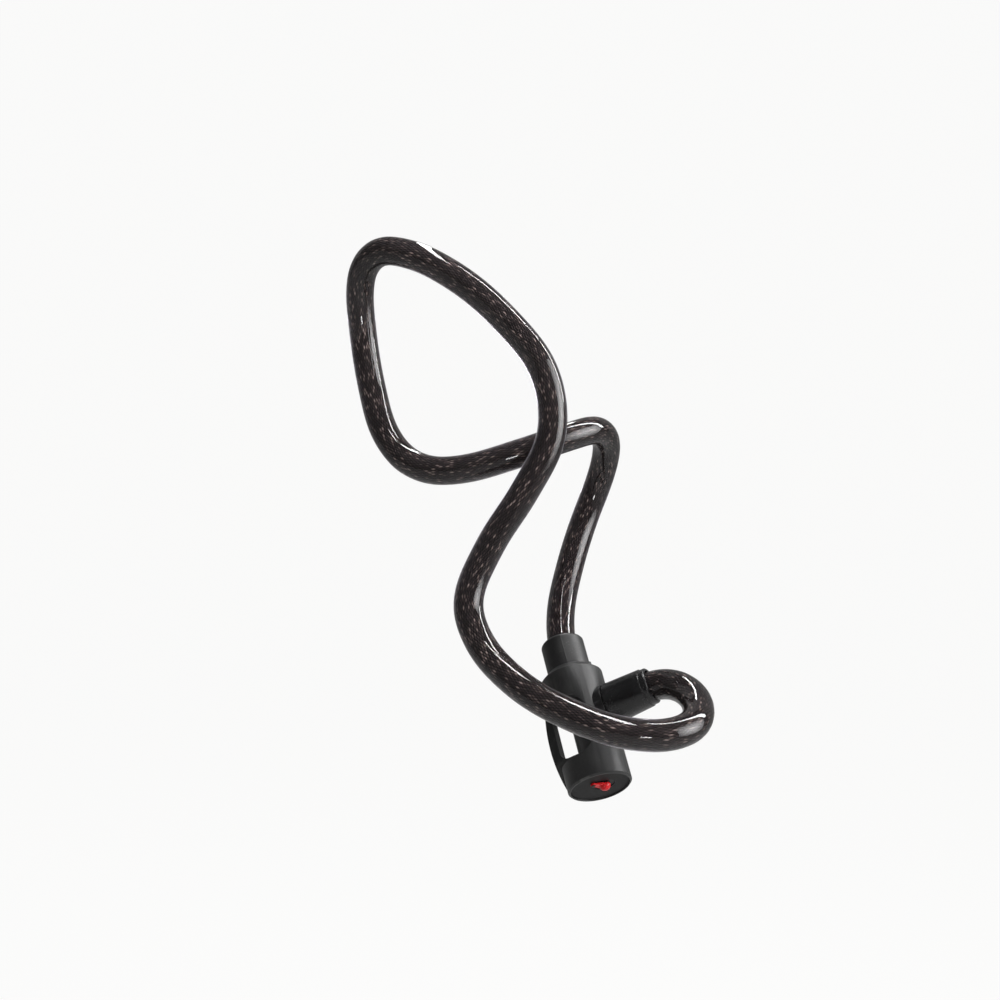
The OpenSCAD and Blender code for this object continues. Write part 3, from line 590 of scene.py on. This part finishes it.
# Key core and its works: a blackened plug with a keyway, five stamped brass wafers on coil springs, a clip
# behind, and the cam whose crank pin slides the steel bolt plate.
plated = metallic("core_plating", colour=(0.045, 0.044, 0.043), dulled=(0.025, 0.024, 0.023),
                  gloss=0.42, marks_height=0.00003)
brass = metallic("wafer_brass", colour=(0.72, 0.55, 0.26), dulled=(0.40, 0.28, 0.12), gloss=0.26,
                 marks_height=0.00003)
spring_steel = metallic("spring_steel", colour=(0.55, 0.55, 0.57), dulled=(0.3, 0.3, 0.3), gloss=0.25,
                        marks_height=0.00001)
sintered = metallic("sintered_steel", colour=(0.30, 0.29, 0.28), dulled=(0.16, 0.15, 0.14), gloss=0.5,
                    marks_height=0.0001)
for name, material in (("key_core", plated), ("wafers", brass), ("wafer_springs", spring_steel),
                       ("core_clip", spring_steel), ("drive_cam", sintered), ("bolt_plate", swaged)):
    paint(nodes[name], material)

# Keyhole cover: a drop moulded in red plastic, with a domed head that hides the keyway and a tail that
# swings on a small blackened rivet in the end plate.
HEAD_AT, HEAD_R, TAIL_R, COVER_THICK = -0.0085, 0.0035, 0.0015, 0.0012
NECK_WIDTH, NECK_TAPER, COVER_HOLE_R = 0.0068, 0.4, 0.00085
DOME_R, DOME_FLATTEN, DOME_Z, DOME_CUT = 0.0034, 0.74, 0.0002, 0.0009
MELT_SIZE, MELT_ROUNDS = 0.00014, 7
COVER_Z, COVER_TURN = -47.6, 240
RIVET_RINGS = [(-44, 0.75), (-47.8, 0.75), (-47.8, 1.3), (-47.95, 1.3), (-48.12, 1.05), (-48.2, 0.6)]
cover_plastic = moulded("cover_red", colour=(0.62, 0.010, 0.014), paler_colour=(0.66, 0.022, 0.024),
                        gloss=0.32, grain_height=0.00001, Specular_IOR_Level=0.3)
bpy.ops.object.select_all(action="DESELECT")
bpy.ops.mesh.primitive_cylinder_add(vertices=48, radius=HEAD_R, depth=COVER_THICK,
                                    location=(HEAD_AT, 0, COVER_THICK / 2))
cover = bpy.context.object
cover.name = "keyhole_cover_piece"
bpy.ops.mesh.primitive_cylinder_add(vertices=32, radius=TAIL_R, depth=COVER_THICK,
                                    location=(0, 0, COVER_THICK / 2))
tail = bpy.context.object
bpy.ops.mesh.primitive_uv_sphere_add(segments=48, ring_count=24, radius=DOME_R, location=(HEAD_AT, 0, DOME_Z),
                                     scale=(1, 1, DOME_FLATTEN))
dome = bpy.context.object
bpy.ops.object.mode_set(mode="EDIT")
bpy.ops.mesh.select_all(action="SELECT")
bpy.ops.mesh.bisect(plane_co=(HEAD_AT, 0, DOME_CUT), plane_no=(0, 0, 1), use_fill=True, clear_outer=True)
bpy.ops.object.mode_set(mode="OBJECT")
bpy.ops.mesh.primitive_cube_add(size=1, location=(HEAD_AT / 2, 0, COVER_THICK / 2),
                                scale=(-HEAD_AT, NECK_WIDTH, COVER_THICK))
neck = bpy.context.object
bpy.ops.object.mode_set(mode="EDIT")
choose(neck, "FACE", lambda face: face.normal.x > 0.5)
bpy.ops.transform.resize(value=(1, NECK_TAPER, 1), center_override=(0, 0, COVER_THICK / 2))
bpy.ops.object.mode_set(mode="OBJECT")
for part in (cover, tail, dome, neck):
    part.select_set(True)
bpy.context.view_layer.objects.active = cover
bpy.ops.object.join()
bpy.ops.object.transform_apply(location=True, rotation=True, scale=True)
melt = cover.modifiers.new("melt", "REMESH")
melt.mode = "VOXEL"
melt.voxel_size = MELT_SIZE
bpy.ops.object.modifier_apply(modifier="melt")
settle = cover.modifiers.new("settle", "SMOOTH")
settle.factor = 0.5
settle.iterations = MELT_ROUNDS
bpy.ops.object.modifier_apply(modifier="settle")
drill(cover, COVER_HOLE_R, depth=0.004, at=(0, 0, COVER_THICK / 2))
bpy.ops.object.shade_smooth_by_angle(angle=math.radians(45))
stand(cover, "Z", at=(*RIVET_AT, COVER_Z), spin=COVER_TURN)
cover.data.materials.append(cover_plastic)
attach(cover, "cover")
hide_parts("keyhole_cover")
rivet = turned_piece("cover_rivet_piece", RIVET_RINGS, steps=40)
close_ends()
even_shading(rivet)
stand(rivet, "Z", at=(*RIVET_AT, 0))
rivet.data.materials.append(plated)
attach(rivet, "lock")
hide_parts("cover_rivet")

# Plug: a smooth black sleeve over a swaged steel fitting, thinner at its mouth where the cable enters, held
# by a set screw at the rear. Its chromed stud goes 20 mm into the lock and has a groove for the bolt plate.
FERRULE_RINGS = [
    (20.3, 6.7), (20.3, 11.9), (20.6, 12.5), (21.2, 12.7), (45.0, 11.8), (45.0, 11.2), (48.3, 11.15),
    (49.0, 10.5), (49.0, 9.5), (39.0, 9.5), (39.0, 8.05), (22.3, 8.05), (22.3, 6.7), (20.3, 6.7)]
SET_SCREW_HOLE_R, SET_SCREW_AT = 0.002, (0, 0.0112, 0.03165)
ferrule = turned_piece("plug_ferrule_piece", FERRULE_RINGS, steps=108)
round_edges(ferrule, width=0.00022)
drill(ferrule, SET_SCREW_HOLE_R, depth=0.008, at=SET_SCREW_AT, tilt=90)
even_shading(ferrule)
stand(ferrule, "X")
ferrule.data.materials.append(sleeve_black)
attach(ferrule, "plug")
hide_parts("plug_ferrule")
chrome = metallic("stud_chrome", colour=(0.66, 0.67, 0.69), dulled=(0.50, 0.50, 0.51), gloss=0.10,
                  marks_height=0.00001)
paint(nodes["plug_stud"], chrome)
soften(nodes["plug_stud"], width=0.0003)
paint(nodes["plug_set_screw"], blackened)

# Studio: a pale paper floor that curves up behind the lock, and four lamps: a long strip overhead, a narrow
# one to the upper right, a broad softbox on the right and a small window low in front. The paper and the
# world look white to the camera and through the sheath.
FLOOR_SIZE, FLOOR_Y, FLOOR_Z = (16, 8), -1.5, -0.62
CURVE_STEPS, CURVE_STEP, WALL_HEIGHT = 12, 0.2, 5
PAPER_SEEN, PAPER_MIRRORED, PAPER_THROUGH = 0.95, 0.22, 0.8
WORLD_LIGHT, WORLD_SEEN = 0.12, 0.86
LAMPS = [  # name, place, the point it is aimed at, width and height, watts, spread in degrees
    ("strip_overhead", (0.12, 0.15, 0.80), (0.12, -0.05, -0.25), (0.10, 1.2), 8, 180),
    ("strip_right", (0.62, 0.10, 0.42), (0.10, -0.03, -0.24), (0.10, 0.9), 5, 180),
    ("softbox_right", (1.05, -0.35, 0.05), (0.10, -0.04, -0.22), (1.0, 1.1), 4.2, 70),
    ("window_front", (0.14, -1.0, -0.36), (0.14, -0.08, -0.27), (0.18, 0.13), 1.35, 180)]
bpy.ops.object.select_all(action="DESELECT")
bpy.ops.mesh.primitive_plane_add(size=1, location=(0, 0, 0))
floor = bpy.context.object
floor.name = "studio_floor"
bpy.ops.object.mode_set(mode="EDIT")
bpy.ops.transform.resize(value=(*FLOOR_SIZE, 1))
bpy.ops.transform.translate(value=(0, FLOOR_Y, FLOOR_Z))
choose(floor, "EDGE", lambda edge: all(floor.data.vertices[v].co.y > 2 for v in edge.vertices))
for step in range(CURVE_STEPS):
    turn = math.radians(90 * (step + 0.5) / CURVE_STEPS)
    bpy.ops.mesh.extrude_region_move(TRANSFORM_OT_translate={
        "value": (0, CURVE_STEP * math.cos(turn), CURVE_STEP * math.sin(turn))})
bpy.ops.mesh.extrude_region_move(TRANSFORM_OT_translate={"value": (0, 0, WALL_HEIGHT)})
bpy.ops.object.mode_set(mode="OBJECT")
bpy.ops.object.shade_smooth()
paper, tree, shader = principled("studio_paper", Base_Color=(0.50, 0.50, 0.495, 1), Roughness=0.9,
                                 Specular_IOR_Level=0.1)
ray = tree.nodes.new("ShaderNodeLightPath")
glow = tree.nodes.new("ShaderNodeEmission")
glow.inputs["Color"].default_value = (1.0, 1.0, 0.995, 1)
glow.inputs["Strength"].default_value = 1.0
seen = calc(tree, "MAXIMUM", calc(tree, "MULTIPLY", ray.outputs["Is Camera Ray"], PAPER_SEEN),
            calc(tree, "MAXIMUM", calc(tree, "MULTIPLY", ray.outputs["Is Glossy Ray"], PAPER_MIRRORED),
                 calc(tree, "MULTIPLY", ray.outputs["Is Transmission Ray"], PAPER_THROUGH)))
mix = tree.nodes.new("ShaderNodeMixShader")
tree.links.new(seen, mix.inputs[0])
tree.links.new(shader.outputs[0], mix.inputs[1])
tree.links.new(glow.outputs[0], mix.inputs[2])
tree.links.new(mix.outputs[0], tree.nodes["Material Output"].inputs["Surface"])
floor.data.materials.append(paper)
for name, place, aim, size, watts, spread_angle in LAMPS:
    lamp_data = bpy.data.lights.new(name, "AREA")
    lamp_data.shape = "RECTANGLE"
    lamp_data.size, lamp_data.size_y = size
    lamp_data.energy = watts
    lamp_data.spread = math.radians(spread_angle)
    lamp = bpy.data.objects.new(name, lamp_data)
    bpy.context.scene.collection.objects.link(lamp)
    lamp.location = place
    lamp.rotation_euler = (Vector(aim) - Vector(place)).to_track_quat("-Z", "Y").to_euler()
world = bpy.data.worlds.new("world")
bpy.context.scene.world = world
world.use_nodes = True
tree = world.node_tree
back = tree.nodes["Background"]
back.inputs[0].default_value = (0.98, 0.98, 0.985, 1)
ray = tree.nodes.new("ShaderNodeLightPath")
seen = calc(tree, "MAXIMUM", ray.outputs["Is Camera Ray"], ray.outputs["Is Transmission Ray"])
tree.links.new(calc(tree, "ADD", calc(tree, "MULTIPLY", seen, WORLD_SEEN), WORLD_LIGHT), back.inputs[1])
bpy.context.scene.view_settings.view_transform = "Standard"
